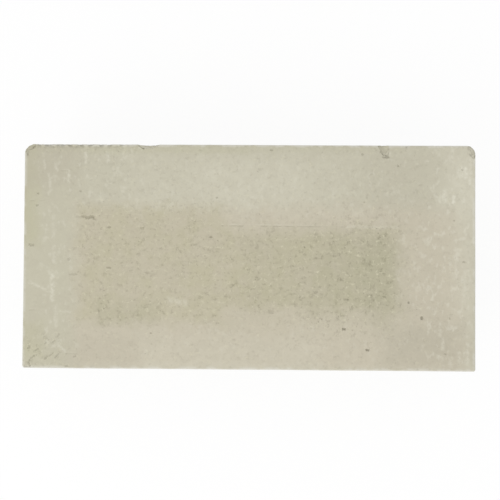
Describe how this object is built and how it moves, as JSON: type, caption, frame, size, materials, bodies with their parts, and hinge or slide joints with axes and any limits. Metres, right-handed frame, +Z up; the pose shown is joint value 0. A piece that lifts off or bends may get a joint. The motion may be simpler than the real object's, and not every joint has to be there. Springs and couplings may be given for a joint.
{
  "type": "refractory firebrick",
  "caption": "Rectangular fired-clay refractory brick with slightly rounded arrises, worn back corners and a chipped edge; lines kilns, stoves, ovens and fireplaces.",
  "frame": {"origin": "middle of the lower bed, the large face that the brick lies on", "axes": "+X along the brick's length, +Y from the front long side to the back long side, +Z up to the upper bed"},
  "size_m": [0.229, 0.114, 0.064],
  "materials": {
    "fired_clay": "matte, porous, sandy fired clay"
  },
  "bodies": {
    "root": {"firebrick": "fired_clay"}
  },
  "joints": []
}
